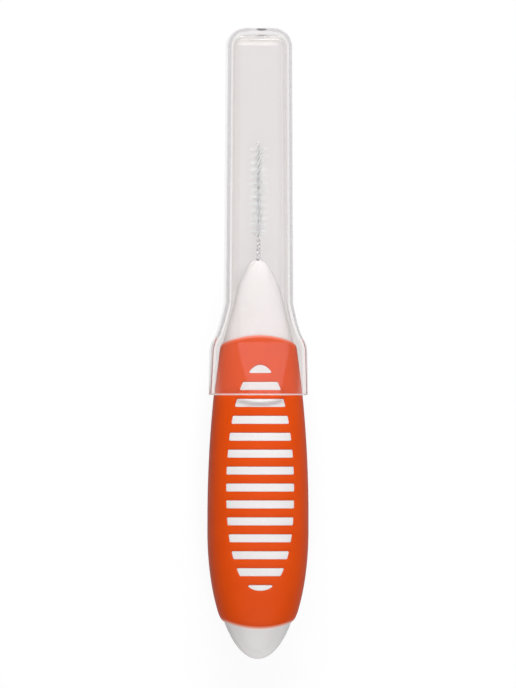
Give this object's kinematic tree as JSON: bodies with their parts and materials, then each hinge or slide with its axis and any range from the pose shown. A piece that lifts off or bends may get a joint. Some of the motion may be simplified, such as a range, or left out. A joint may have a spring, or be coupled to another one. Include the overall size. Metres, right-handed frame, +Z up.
{
  "type": "interdental brush",
  "caption": "Travel interdental brush: slim handle with a slotted soft grip, twisted-wire bristle head and a clear push-on cap.",
  "frame": {"origin": "middle of the object's length and width, on the surface that it lies on", "axes": "+Y from the tail tip to the closed end of the cap, +X to the right seen from above, +Z up out of the front of the handle"},
  "size_m": [0.0136, 0.0842, 0.009],
  "materials": {
    "white_polypropylene": "glossy moulded polypropylene",
    "orange_elastomer": "satin soft-touch elastomer",
    "stainless_wire": "drawn stainless wire",
    "nylon_filament": "pale translucent nylon",
    "clear_plastic": "clear, slightly hazy moulded plastic"
  },
  "bodies": {
    "handle": {"handle_core": "white_polypropylene", "grip": "orange_elastomer", "wire_stem": "stainless_wire", "bristles": "nylon_filament"},
    "cap": {"cap": "clear_plastic"}
  },
  "joints": [
    {"name": "cap_slide", "type": "slide", "parent": "handle", "child": "cap", "axis": [0, 1, 0], "range_m": [0, 0.04]}
  ]
}
